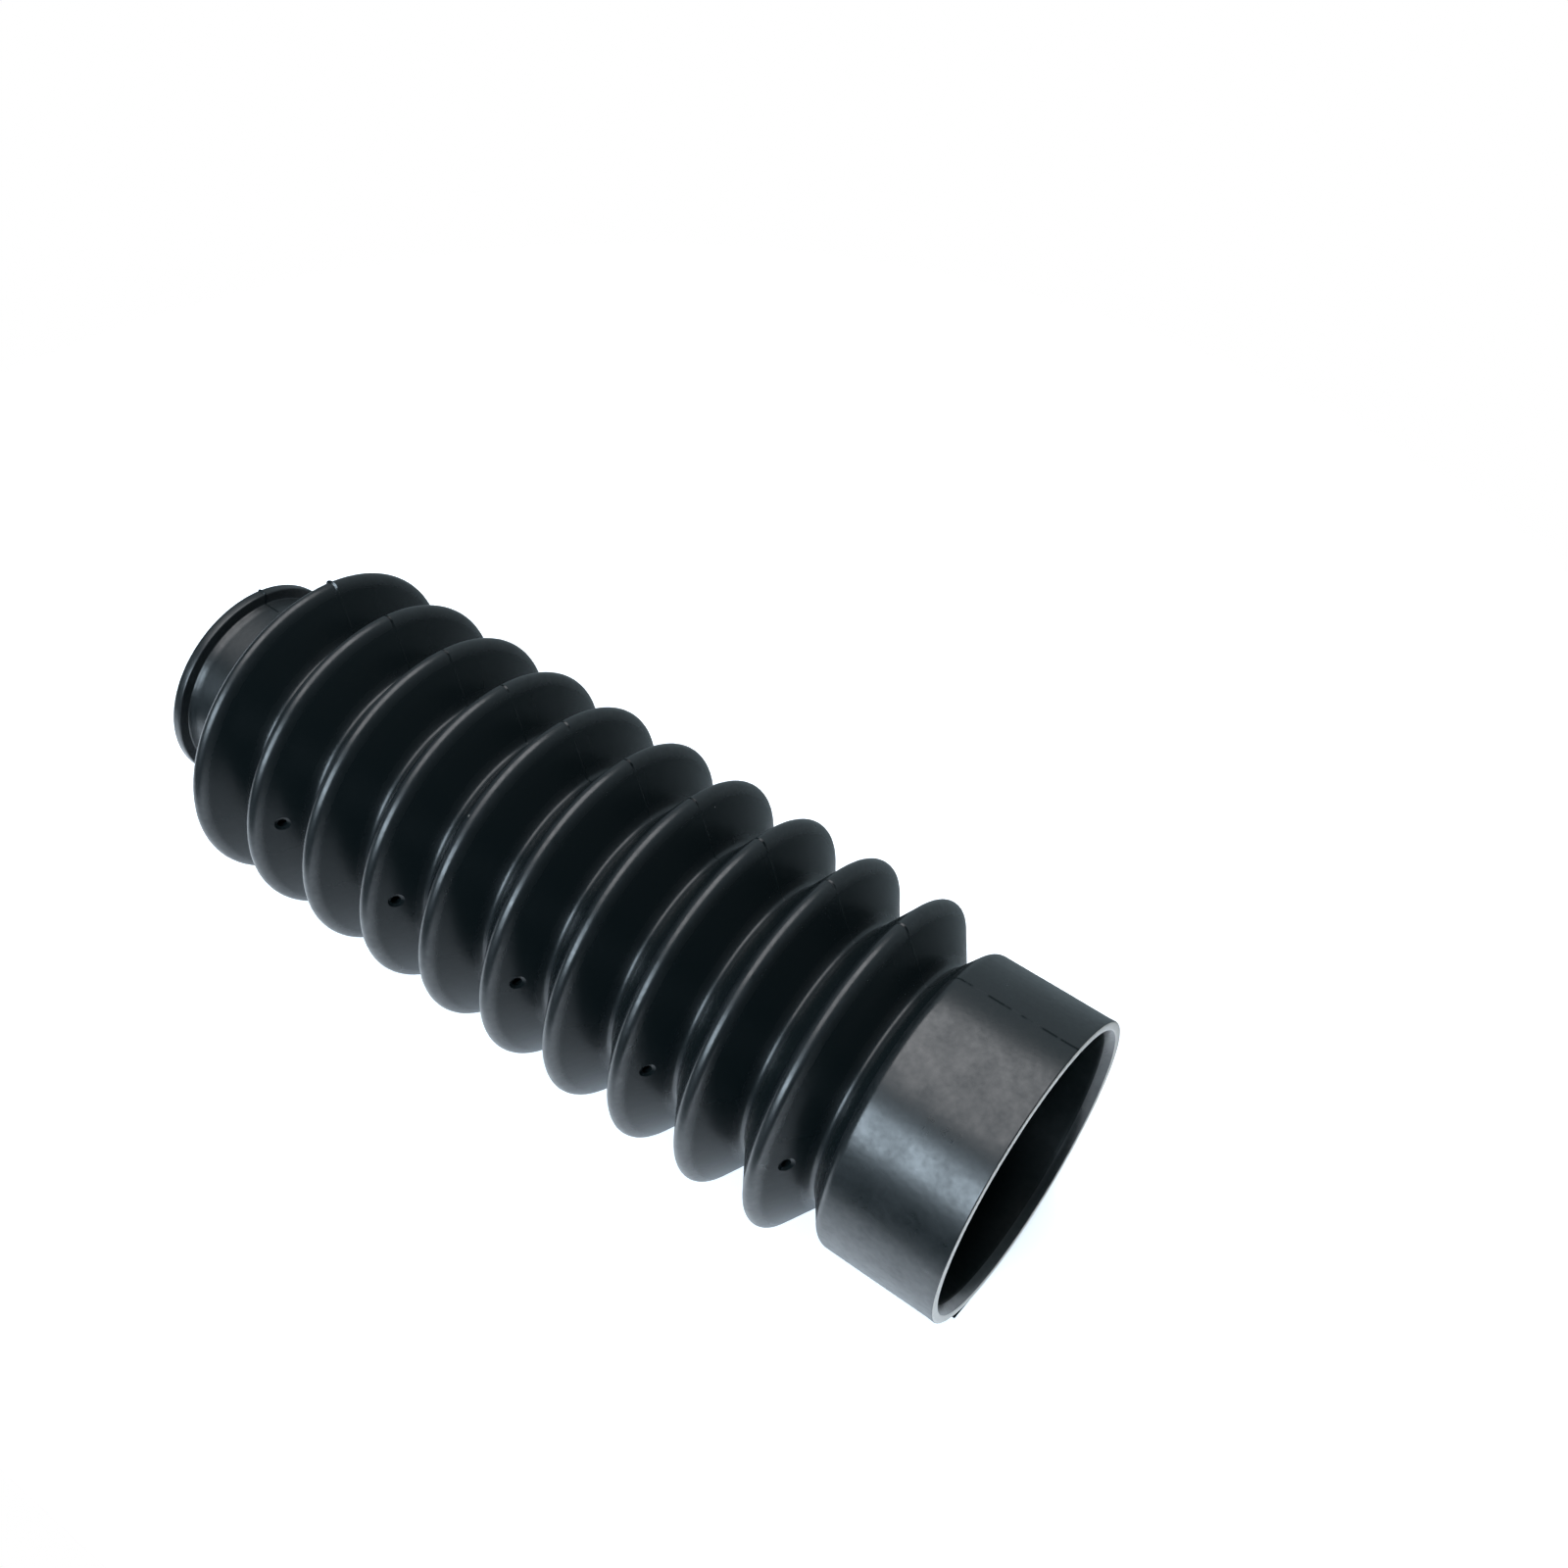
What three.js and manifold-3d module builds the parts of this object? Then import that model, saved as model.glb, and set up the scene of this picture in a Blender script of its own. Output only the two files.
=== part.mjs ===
// Fork gaiter: a moulded rubber bellows with a wide plain cuff at one end
// and a narrow clamp collar with a lip at the other.
// Millimetres, +Z up. The gaiter stands on the rim of its cuff, on the plane z = 0,
// and the Z axis is its centre line.

import * as THREE from 'three';
import { mergeVertices } from 'three/addons/utils/BufferGeometryUtils.js';
import Module from 'manifold-3d';

// Bellows
const CONVOLUTIONS = 10;
const PITCH = 16.5;
const CREST_RADIUS = 37.2;
const VALLEY_RADIUS = 27.0;
const CREST_ROUND = 1.7;
const VALLEY_ROUND = 0.8;
const WALL = 1.4;

// Wide cuff that grips the fork leg
const CUFF_RADIUS = 33.1;
const CUFF_WALL = 3.0;
const CUFF_HEIGHT = 27.4;
const CUFF_TO_VALLEY = 3.8;
const SHOULDER_ROUND = 2.4;
const RIM_ROUND = 0.4;
const MOUTH_BEVEL_WIDTH = 1.2;
const MOUTH_BEVEL_HEIGHT = 2.0;

// Narrow collar that is clamped round the fork tube
const NECK_RADIUS = 21.6;
const NECK_WALL = 2.1;
const NECK_FILLET = 1.2;
const CREST_TO_NECK = 12.2;
const NECK_HEIGHT = 7.8;
const LIP_PROUD = 2.5;
const LIP_HEIGHT = 2.6;
const LIP_ROUND = 0.8;

// Breather holes in a row up the gaiter, each in a shallow dish
const CONVOLUTIONS_PER_HOLE = 2;
const HOLE_RADIUS = 1.0;
const DISH_MARGIN = 1.0;
const DISH_DEPTH = 0.45;
const HOLE_ROW_ANGLE = 225;

// Gate stub left on the cuff beside its rim, a wedge with its peak nearer one end
const STUB_WIDTH = 8.7;
const STUB_PEAK = 0.7;
const STUB_HEIGHT = 2.4;
const STUB_PROUD = 1.7;
const STUB_CLEAR_OF_RIM = 0.15;
const STUB_ANGLE = 153;

// Facets: around the axis, and along the rounded stretches of the section
const TURN_FACETS = 36;
const CREST_FACETS = 4;
const VALLEY_FACETS = 1;
const SHOULDER_FACETS = 3;
const INNER_VALLEY_FACETS = 2;
const HOLE_FACETS = 12;

// Rounds of the outer skin, in order up the gaiter.
// Each has a centre (z, r) and a bend: its radius, positive where the skin
// wraps round it and negative where the skin dips under it.
const halfPitch = PITCH / 2;
const firstValley = CUFF_HEIGHT + CUFF_TO_VALLEY;
const crestCentreRadius = CREST_RADIUS - CREST_ROUND;
const valleyCentreRadius = VALLEY_RADIUS + VALLEY_ROUND;

const shoulder = {
  z: CUFF_HEIGHT - SHOULDER_ROUND,
  r: CUFF_RADIUS - SHOULDER_ROUND,
  bend: SHOULDER_ROUND,
};
const rounds = [shoulder];
for (let fold = 0; fold < CONVOLUTIONS; fold += 1) {
  const valleyZ = firstValley + fold * PITCH;
  rounds.push({ z: valleyZ, r: valleyCentreRadius, bend: -VALLEY_ROUND });
  rounds.push({ z: valleyZ + halfPitch, r: crestCentreRadius, bend: CREST_ROUND });
}
const lastCrest = rounds[rounds.length - 1];
const neckFoot = {
  z: lastCrest.z + CREST_TO_NECK,
  r: NECK_RADIUS + NECK_FILLET,
  bend: -NECK_FILLET,
};
rounds.push(neckFoot);

// A flank is the straight line that touches two rounds in turn. Its lean is the
// angle of its outward normal, from the radial direction towards +Z.
function leanBetween(low, high) {
  const rise = high.z - low.z;
  const spread = high.r - low.r;
  const twist = Math.asin((low.bend - high.bend) / Math.hypot(rise, spread));
  return twist - Math.atan2(spread, rise);
}

const leans = [];
for (let i = 0; i + 1 < rounds.length; i += 1) {
  leans.push(leanBetween(rounds[i], rounds[i + 1]));
}

// Point of the skin where its normal has the given lean, at a depth under the outside
function onRound(round, lean, depth) {
  const reach = round.bend - depth;
  return new THREE.Vector2(round.r + reach * Math.cos(lean), round.z + reach * Math.sin(lean));
}

// Rounded stretch from one lean to the next
function roundPoints(round, from, to, depth, facets) {
  const points = [];
  for (let i = 0; i <= facets; i += 1) {
    points.push(onRound(round, from + ((to - from) * i) / facets, depth));
  }
  return points;
}

// Sharp corner where the two flanks beside a round meet
function cornerPoint(round, from, to, depth) {
  const reach = (round.bend - depth) / Math.cos((to - from) / 2);
  const middle = (from + to) / 2;
  return new THREE.Vector2(round.r + reach * Math.cos(middle), round.z + reach * Math.sin(middle));
}

// Where a flank, at a depth under the outside, reaches a given radius
function flankAtRadius(round, lean, depth, radius) {
  const reach = round.bend - depth - (radius - round.r) * Math.cos(lean);
  return new THREE.Vector2(radius, round.z + reach / Math.sin(lean));
}

// Outside of the section, from the rim of the cuff up to the lip
const neckTop = neckFoot.z + NECK_HEIGHT;
const top = neckTop + LIP_HEIGHT;
const lipRadius = NECK_RADIUS + LIP_PROUD;
const cuffBore = CUFF_RADIUS - CUFF_WALL;
const neckBore = NECK_RADIUS - NECK_WALL;
const straightUp = 0;

function outsidePoints() {
  const points = [
    new THREE.Vector2(CUFF_RADIUS - RIM_ROUND, 0),
    new THREE.Vector2(CUFF_RADIUS, RIM_ROUND),
  ];
  rounds.forEach((round, i) => {
    const from = i === 0 ? straightUp : leans[i - 1];
    const to = i < leans.length ? leans[i] : straightUp;
    let facets = round.bend > 0 ? CREST_FACETS : VALLEY_FACETS;
    if (round === shoulder || round === neckFoot) {
      facets = SHOULDER_FACETS;
    }
    points.push(...roundPoints(round, from, to, 0, facets));
  });
  points.push(
    new THREE.Vector2(NECK_RADIUS, neckTop),
    new THREE.Vector2(lipRadius - LIP_ROUND / 2, neckTop),
    new THREE.Vector2(lipRadius, neckTop + LIP_ROUND),
    new THREE.Vector2(lipRadius, top - LIP_ROUND),
    new THREE.Vector2(lipRadius - LIP_ROUND, top),
  );
  return points;
}

// Inside of the section, from the collar's mouth back down to the cuff's mouth
function insidePoints() {
  const points = [];
  const firstLean = leans[0];
  const lastLean = leans[leans.length - 1];
  points.push(new THREE.Vector2(cuffBore + MOUTH_BEVEL_WIDTH, 0));
  points.push(new THREE.Vector2(cuffBore, MOUTH_BEVEL_HEIGHT));
  points.push(flankAtRadius(shoulder, firstLean, WALL, cuffBore));
  for (let i = 1; i < leans.length; i += 1) {
    const round = rounds[i];
    if (round.bend > 0) {
      points.push(cornerPoint(round, leans[i - 1], leans[i], WALL));
    } else {
      points.push(...roundPoints(round, leans[i - 1], leans[i], WALL, INNER_VALLEY_FACETS));
    }
  }
  points.push(flankAtRadius(neckFoot, lastLean, WALL, neckBore));
  points.push(new THREE.Vector2(neckBore, top));
  return points.reverse();
}

// Turning the closed section round the axis gives the plain gaiter
function turned(profile, facets) {
  const geometry = new THREE.LatheGeometry(profile, facets);
  geometry.rotateX(Math.PI / 2);
  return geometry;
}

const section = [...outsidePoints(), ...insidePoints()];
section.push(section[0].clone());

// Solids for cutting and joining
const wasm = await Module();
wasm.setup();

function toSolid(geometry) {
  const plain = geometry.clone();
  plain.deleteAttribute('normal');
  plain.deleteAttribute('uv');
  const welded = mergeVertices(plain, 1e-4);
  return new wasm.Manifold(new wasm.Mesh({
    numProp: 3,
    vertProperties: new Float32Array(welded.attributes.position.array),
    triVerts: new Uint32Array(welded.index.array),
  }));
}

function toGeometry(solid) {
  const mesh = solid.getMesh();
  const geometry = new THREE.BufferGeometry();
  geometry.setAttribute('position', new THREE.BufferAttribute(mesh.vertProperties, 3));
  geometry.setIndex(new THREE.BufferAttribute(mesh.triVerts, 1));
  geometry.computeVertexNormals();
  return geometry;
}

// Cutter for one breather hole, set square to the middle of the flank that faces
// the cuff. Its stem goes through the wall and its head sinks the dish.
function holeCutter(valley, crest, lean) {
  const low = onRound(valley, lean, 0);
  const high = onRound(crest, lean, 0);
  const middle = low.add(high).multiplyScalar(0.5);
  const dishRadius = HOLE_RADIUS + DISH_MARGIN;
  const through = 2 * WALL;
  const geometry = new THREE.LatheGeometry([
    new THREE.Vector2(0, -through),
    new THREE.Vector2(HOLE_RADIUS, -through),
    new THREE.Vector2(HOLE_RADIUS, -DISH_DEPTH),
    new THREE.Vector2(dishRadius, 0),
    new THREE.Vector2(dishRadius, WALL),
    new THREE.Vector2(0, WALL),
  ], HOLE_FACETS);
  // The cutter's own axis is Y: it leans back into the flank's normal
  geometry.rotateZ(lean - Math.PI / 2);
  geometry.translate(middle.x, middle.y, 0);
  geometry.rotateX(Math.PI / 2);
  geometry.rotateZ(THREE.MathUtils.degToRad(HOLE_ROW_ANGLE));
  return toSolid(geometry);
}

// Gate stub: a small wedge rooted in the cuff's wall, seen along the axis as a
// low triangle on the cuff's surface
function gateStub() {
  const root = CUFF_RADIUS - CUFF_WALL / 2;
  const start = -STUB_WIDTH / 2;
  const end = STUB_WIDTH / 2;
  const outline = new THREE.Shape([
    new THREE.Vector2(root, start),
    new THREE.Vector2(CUFF_RADIUS, start),
    new THREE.Vector2(CUFF_RADIUS + STUB_PROUD, start + STUB_WIDTH * STUB_PEAK),
    new THREE.Vector2(CUFF_RADIUS, end),
    new THREE.Vector2(root, end),
  ]);
  const geometry = new THREE.ExtrudeGeometry(outline, { depth: STUB_HEIGHT, bevelEnabled: false });
  geometry.translate(0, 0, STUB_CLEAR_OF_RIM);
  geometry.rotateZ(THREE.MathUtils.degToRad(STUB_ANGLE));
  return toSolid(geometry);
}

let body = toSolid(turned(section, TURN_FACETS)).add(gateStub());
for (let i = 1; i + 2 < rounds.length; i += 2 * CONVOLUTIONS_PER_HOLE) {
  body = body.subtract(holeCutter(rounds[i], rounds[i + 1], leans[i]));
}

const rubber = new THREE.MeshStandardMaterial({
  color: 0x14181a,
  roughness: 0.45,
  metalness: 0.0,
});
const gaiter = new THREE.Mesh(toGeometry(body), rubber);
gaiter.name = 'gaiter';

const part = new THREE.Group();
part.add(gaiter);

export default part;
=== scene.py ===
# %% [markdown]
# # A moulded rubber fork gaiter
# A fork gaiter is a rubber bellows that keeps dirt off a motorcycle's fork.
# It is one moulding: a wide cuff, ten sharp folds and a narrow collar with a lip.
# The solid part is loaded first, as the fixed frame, and the size of its box is printed.
# Everything made here has to stay inside its box.

# %% Load the solid part
import math
import bpy
from mathutils import Matrix, Vector


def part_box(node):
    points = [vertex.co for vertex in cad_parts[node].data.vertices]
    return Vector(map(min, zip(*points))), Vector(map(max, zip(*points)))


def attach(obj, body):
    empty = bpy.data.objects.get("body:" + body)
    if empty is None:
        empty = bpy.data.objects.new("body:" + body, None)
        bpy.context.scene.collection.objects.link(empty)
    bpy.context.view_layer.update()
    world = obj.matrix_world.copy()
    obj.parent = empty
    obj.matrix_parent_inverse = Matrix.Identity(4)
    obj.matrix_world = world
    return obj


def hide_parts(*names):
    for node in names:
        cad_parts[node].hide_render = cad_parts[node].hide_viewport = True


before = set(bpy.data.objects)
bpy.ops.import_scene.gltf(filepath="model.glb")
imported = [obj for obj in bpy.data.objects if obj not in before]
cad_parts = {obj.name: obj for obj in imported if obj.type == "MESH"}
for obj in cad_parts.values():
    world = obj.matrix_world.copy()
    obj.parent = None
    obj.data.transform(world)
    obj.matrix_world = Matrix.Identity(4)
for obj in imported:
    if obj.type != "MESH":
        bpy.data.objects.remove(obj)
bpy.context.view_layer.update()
MM = 0.001
low_corner, high_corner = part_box("gaiter")
print("solid part, mm:", [round(c / MM, 2) for c in high_corner - low_corner])

# %% [markdown]
# ## The section
# A gaiter is turned round its axis, so half of its cross section says nearly all of its shape.
# The section could be drawn by hand, but it follows a rule: a chain of small rounds, one at
# each crest and each valley, with a straight flank that touches each pair. The same rule made
# the solid part, so the two agree, and here the rounds get more points. A flank is known by
# its lean, the angle of its outward normal from the radial direction towards +Z.

# %% Sizes of the section
CONVOLUTIONS = 10
PITCH = 16.5 * MM
CREST_RADIUS, CREST_ROUND = 37.2 * MM, 1.7 * MM
VALLEY_RADIUS, VALLEY_ROUND = 27.0 * MM, 0.8 * MM
WALL = 1.4 * MM
CUFF_RADIUS, CUFF_WALL, CUFF_HEIGHT = 33.1 * MM, 3.0 * MM, 27.4 * MM
CUFF_TO_VALLEY, SHOULDER_ROUND = 3.8 * MM, 2.4 * MM
RIM_ROUND = 0.4 * MM
MOUTH_BEVEL_WIDTH, MOUTH_BEVEL_HEIGHT = 1.2 * MM, 2.0 * MM
NECK_RADIUS, NECK_WALL, NECK_FILLET = 21.6 * MM, 2.1 * MM, 1.2 * MM
CREST_TO_NECK, NECK_HEIGHT = 12.2 * MM, 7.8 * MM
LIP_PROUD, LIP_HEIGHT, LIP_ROUND = 2.5 * MM, 2.6 * MM, 0.8 * MM

# %% Rounds and the leans of the flanks between them
first_valley = CUFF_HEIGHT + CUFF_TO_VALLEY
rounds = [(CUFF_HEIGHT - SHOULDER_ROUND, CUFF_RADIUS - SHOULDER_ROUND, SHOULDER_ROUND)]
for fold in range(CONVOLUTIONS):
    valley_z = first_valley + fold * PITCH
    rounds.append((valley_z, VALLEY_RADIUS + VALLEY_ROUND, -VALLEY_ROUND))
    rounds.append((valley_z + PITCH / 2, CREST_RADIUS - CREST_ROUND, CREST_ROUND))
rounds.append((rounds[-1][0] + CREST_TO_NECK, NECK_RADIUS + NECK_FILLET, -NECK_FILLET))


def lean_between(low, high):
    rise, spread = high[0] - low[0], high[1] - low[1]
    twist = math.asin((low[2] - high[2]) / math.hypot(rise, spread))
    return twist - math.atan2(spread, rise)


leans = [0.0] + [lean_between(*pair) for pair in zip(rounds, rounds[1:])] + [0.0]
neck_foot_z = rounds[-1][0]
neck_top = neck_foot_z + NECK_HEIGHT
top = neck_top + LIP_HEIGHT
print("flanks lean", round(math.degrees(leans[2]), 1), "degrees; top at", round(top / MM, 2), "mm")

# %% [markdown]
# ## Points along the section
# Each point keeps three more things for the Geometry Nodes: the outward normal, along which
# the skin may be pushed, how proud the mould's parting line stands there, and how much the
# soft skin may wander. The two halves of the mould meet in a plane through the axis. A fine
# rib is left where they meet, in the folds and on the collar. On the cuff and the crests it
# was trimmed a little too deep, which leaves a groove and nicks. A nub stands on the last
# crest and on the lip.

# %% The section's points
RIB_PROUD, NICK, NUB_PROUD, CUFF_GROOVE = 0.05 * MM, -0.2 * MM, 0.5 * MM, -0.03 * MM
SKIN, INSIDE, EDGE = 1.0, 0.0, 0.15
section = []


def add_point(r, z, lean, rib=0.0, wander=SKIN):
    section.append({"at": (r, 0.0, z), "out": (math.cos(lean), 0.0, math.sin(lean)),
                    "rib": rib, "wander": wander})


def add_arc(z, r, bend, lean_from, lean_to, steps, **marks):
    for i in range(steps + 1):
        lean = lean_from + (lean_to - lean_from) * i / max(steps, 1)
        add_point(r + bend * math.cos(lean), z + bend * math.sin(lean), lean, **marks)


def add_lip_arc(z, r, bend, lean_from, lean_to, steps):
    """An arc of the lip, whose nub fades out before the end face."""
    for i in range(steps + 1):
        lean = lean_from + (lean_to - lean_from) * i / steps
        add_arc(z, r, bend, lean, lean, 0, rib=NUB_PROUD * math.cos(lean) ** 4, wander=EDGE)


def add_line(start, end, shares, lean, **marks):
    for share in shares:
        add_point(start[0] + (end[0] - start[0]) * share,
                  start[1] + (end[1] - start[1]) * share, lean, **marks)


def on_round(one, lean, depth=0.0):
    reach = one[2] - depth
    return one[1] + reach * math.cos(lean), one[0] + reach * math.sin(lean)


# %% Outside, from the rim up to the lip
FLANK_SHARES = (0.06, 0.36, 0.66, 0.94)
CUFF_ROWS, CREST_STEPS, VALLEY_STEPS = 17, 8, 4
quarter = math.pi / 2
add_arc(RIM_ROUND, CUFF_RADIUS - RIM_ROUND, RIM_ROUND, -quarter, 0, 4, wander=EDGE)
add_line((CUFF_RADIUS, RIM_ROUND), (CUFF_RADIUS, rounds[0][0]),
         [i / CUFF_ROWS for i in range(1, CUFF_ROWS)], 0.0, rib=CUFF_GROOVE)
for i, one in enumerate(rounds):
    crest = one[2] > 0 and i > 0
    last_crest = i == len(rounds) - 2
    rib = (NUB_PROUD if last_crest else NICK) if crest else RIB_PROUD
    steps = CREST_STEPS if one[2] > 0 else VALLEY_STEPS
    add_arc(*one, leans[i], leans[i + 1], steps, rib=rib)
    if i + 1 < len(rounds):
        add_line(on_round(one, leans[i + 1]), on_round(rounds[i + 1], leans[i + 1]),
                 FLANK_SHARES, leans[i + 1], rib=RIB_PROUD)
lip_radius = NECK_RADIUS + LIP_PROUD
add_line((NECK_RADIUS, neck_foot_z), (NECK_RADIUS, neck_top),
         (0.1, 0.4, 0.7, 0.94), 0.0, rib=RIB_PROUD)
groove_round = 0.3 * MM
add_arc(neck_top - groove_round, NECK_RADIUS + groove_round, -groove_round, 0, -quarter, 3, wander=EDGE)
underside = LIP_ROUND / 2
add_lip_arc(neck_top + underside, lip_radius - underside, underside, -quarter, 0, 4)
add_lip_arc(top - LIP_ROUND, lip_radius - LIP_ROUND, LIP_ROUND, 0, quarter, 6)
outside_count = len(section)

# %% Inside, back down to the cuff's mouth
cuff_bore, neck_bore = CUFF_RADIUS - CUFF_WALL, NECK_RADIUS - NECK_WALL


def flank_at_radius(one, lean, radius):
    reach = one[2] - WALL - (radius - one[1]) * math.cos(lean)
    return one[0] + reach / math.sin(lean)


bore_edge = 0.3 * MM
add_arc(top - bore_edge, neck_bore + bore_edge, bore_edge, quarter, math.pi, 3, wander=INSIDE)
inner_marks = {"wander": INSIDE}
add_point(neck_bore, flank_at_radius(rounds[-1], leans[-2], neck_bore), math.pi, **inner_marks)
for i in range(len(rounds) - 2, 0, -1):
    z, r, bend = rounds[i]
    add_arc(z, r, bend - WALL, leans[i + 1], leans[i], 3, **inner_marks)
    near, far = on_round(rounds[i], leans[i], WALL), on_round(rounds[i - 1], leans[i], WALL)
    if i > 1:
        add_line(near, far, (0.5,), leans[i], **inner_marks)
add_point(cuff_bore, flank_at_radius(rounds[0], leans[1], cuff_bore), math.pi, **inner_marks)
add_line((cuff_bore, rounds[0][0]), (cuff_bore, MOUTH_BEVEL_HEIGHT),
         (0.3, 0.7, 0.97), math.pi, **inner_marks)
mouth_edge = 0.12 * MM
bevel_foot = cuff_bore + MOUTH_BEVEL_WIDTH
bevel_tilt = math.atan2(MOUTH_BEVEL_WIDTH, MOUTH_BEVEL_HEIGHT)
add_line((cuff_bore, MOUTH_BEVEL_HEIGHT), (bevel_foot, 0),
         (0.03, 0.5, 0.94), math.pi + bevel_tilt, **inner_marks)
add_point(bevel_foot + mouth_edge, 0, -quarter, **inner_marks)
section.append(section[0])
print("section:", len(section), "points,", outside_count, "of them outside")

# %% The section as a line that the nodes can read
section_mesh = bpy.data.meshes.new("section")
section_mesh.from_pydata([p["at"] for p in section], [], [])
for name, kind in (("out", "FLOAT_VECTOR"), ("rib", "FLOAT"), ("wander", "FLOAT")):
    field = section_mesh.attributes.new(name, kind, "POINT")
    values = [p[name] for p in section]
    flat = [c for v in values for c in v] if kind == "FLOAT_VECTOR" else values
    field.data.foreach_set("vector" if kind == "FLOAT_VECTOR" else "value", flat)
gaiter = bpy.data.objects.new("gaiter_rubber", section_mesh)
bpy.context.scene.collection.objects.link(gaiter)

# %% [markdown]
# ## A helper for building node trees
# Shaders and Geometry Nodes are both trees of nodes joined by links. A tree built by hand in
# the editor can't be read later as text, so here each tree is written out. One helper makes a
# node, sets its options and fills its sockets. A socket's value may be a number, or the output
# of another node, which becomes a link.


# %% Helpers for nodes
def put(tree, kind, values=None, out=0, **options):
    """Makes a node, fills its sockets and returns one of its outputs."""
    node = tree.nodes.new(kind)
    for name, value in options.items():
        setattr(node, name, value)
    for key, value in (values or {}).items():
        socket = node.inputs[key]
        if isinstance(value, bpy.types.NodeSocket):
            tree.links.new(value, socket)
        else:
            socket.default_value = value
    return node.outputs[out]


def maths(tree, operation, *values):
    return put(tree, "ShaderNodeMath", dict(enumerate(values)), operation=operation)


def vector_maths(tree, operation, *values, out=0):
    return put(tree, "ShaderNodeVectorMath", dict(enumerate(values)), out, operation=operation)


def new_socket(tree, name, kind, value=None, output=False):
    socket = tree.interface.new_socket(
        name=name, in_out="OUTPUT" if output else "INPUT", socket_type="NodeSocket" + kind)
    if value is not None:
        socket.default_value = value
    return socket


# %% [markdown]
# ## Turning the section with Geometry Nodes
# A Spin or a Screw modifier could turn the section, but would give every turn the same section
# and the same spacing. Here a flat grid is bent instead: one way round the axis, and the other
# way along the section, whose points are read by number. That leaves room for what a turned
# shape can't have: the rib on the parting line, with the columns packed closer beside it, and
# the slow wander of a soft skin. The wander only goes inwards, so the gaiter keeps its box.

# %% Tree: inputs
PARTING_ANGLE = math.radians(315)
tree = bpy.data.node_groups.new("moulded_gaiter", "GeometryNodeTree")
new_socket(tree, "Geometry", "Geometry", output=True)
new_socket(tree, "Section", "Geometry")
tree_inputs = {
    "Rows": ("Int", len(section)),
    "Columns": ("Int", 248),
    "Parting angle": ("Float", PARTING_ANGLE),
    "Crowding": ("Float", 0.86),
    "Rib half width": ("Float", 0.28 * MM),
    "Wander depth": ("Float", 0.22 * MM),
    "Wander scale": ("Float", 26.0),
    "Wander seed": ("Float", 7.3),
    "Holes": ("Int", 5),
    "Hole row angle": ("Float", math.radians(225)),
    "Hole radius": ("Float", 1.0 * MM),
    "Dish margin": ("Float", 1.0 * MM),
    "Dish depth": ("Float", 0.45 * MM),
    "Stub angle": ("Float", math.radians(153)),
    "Stub width": ("Float", 8.7 * MM),
    "Stub height": ("Float", 2.4 * MM),
    "Stub proud": ("Float", 1.7 * MM),
}
for name, (kind, _) in tree_inputs.items():
    new_socket(tree, name, kind)
given = tree.nodes.new("NodeGroupInput").outputs

# %% Tree: a grid bent round the axis
grid = put(tree, "GeometryNodeMeshGrid", {
    "Size X": 1.0, "Size Y": 1.0, "Vertices X": given["Rows"],
    "Vertices Y": maths(tree, "ADD", given["Columns"], 1.0)})
flat_place = put(tree, "ShaderNodeSeparateXYZ", {0: put(tree, "GeometryNodeInputPosition")}).node
row_share = maths(tree, "ADD", flat_place.outputs["X"], 0.5)
turn_share = maths(tree, "ADD", flat_place.outputs["Y"], 0.5)
last_row = maths(tree, "SUBTRACT", given["Rows"], 1.0)
row = maths(tree, "ROUND", maths(tree, "MULTIPLY", row_share, last_row))
even_angle = maths(tree, "MULTIPLY", turn_share, math.tau)
bunched = maths(tree, "MULTIPLY", maths(tree, "SINE", maths(tree, "MULTIPLY", even_angle, 2.0)),
                maths(tree, "MULTIPLY", given["Crowding"], -0.5))
from_parting = maths(tree, "ADD", even_angle, bunched)
angle = maths(tree, "ADD", from_parting, given["Parting angle"])


def from_section(kind, field):
    return put(tree, "GeometryNodeSampleIndex",
               {"Geometry": given["Section"], "Value": field, "Index": row}, data_type=kind, domain="POINT")


def section_mark(kind, name):
    mark = put(tree, "GeometryNodeInputNamedAttribute", {"Name": name}, data_type=kind)
    return from_section(kind, mark)


place = from_section("FLOAT_VECTOR", put(tree, "GeometryNodeInputPosition"))
outward = section_mark("FLOAT_VECTOR", "out")

# %% Tree: rib, wander and the bent skin
place_parts = put(tree, "ShaderNodeSeparateXYZ", {0: place}).node
from_rib = maths(tree, "MULTIPLY", place_parts.outputs["X"],
                 maths(tree, "ABSOLUTE", maths(tree, "SINE", from_parting)))
rib_shape = put(tree, "ShaderNodeMapRange", {
    "Value": from_rib, "From Min": given["Rib half width"], "From Max": 0.0,
    "To Min": 0.0, "To Max": 1.0}, interpolation_type="SMOOTHSTEP")
rib_height = maths(tree, "MULTIPLY", section_mark("FLOAT", "rib"), rib_shape)


def turned(vector, about):
    return put(tree, "ShaderNodeVectorRotate", {"Vector": vector, "Angle": about}, rotation_type="Z_AXIS")


noise = put(tree, "ShaderNodeTexNoise", {
    "Vector": turned(place, angle), "W": given["Wander seed"], "Scale": given["Wander scale"],
    "Detail": 2.0}, noise_dimensions="4D")
wander = maths(tree, "MULTIPLY", maths(tree, "MULTIPLY", noise, section_mark("FLOAT", "wander")),
               given["Wander depth"])
push = vector_maths(tree, "SCALE", outward)
tree.links.new(maths(tree, "SUBTRACT", rib_height, wander), push.node.inputs["Scale"])
skin = put(tree, "GeometryNodeSetPosition", {
    "Geometry": grid, "Position": turned(vector_maths(tree, "ADD", place, push), angle)})
closed = put(tree, "GeometryNodeMergeByDistance", {"Geometry": skin, "Distance": 0.001 * MM})
closed = put(tree, "GeometryNodeFlipFaces", {"Mesh": closed})

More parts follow.
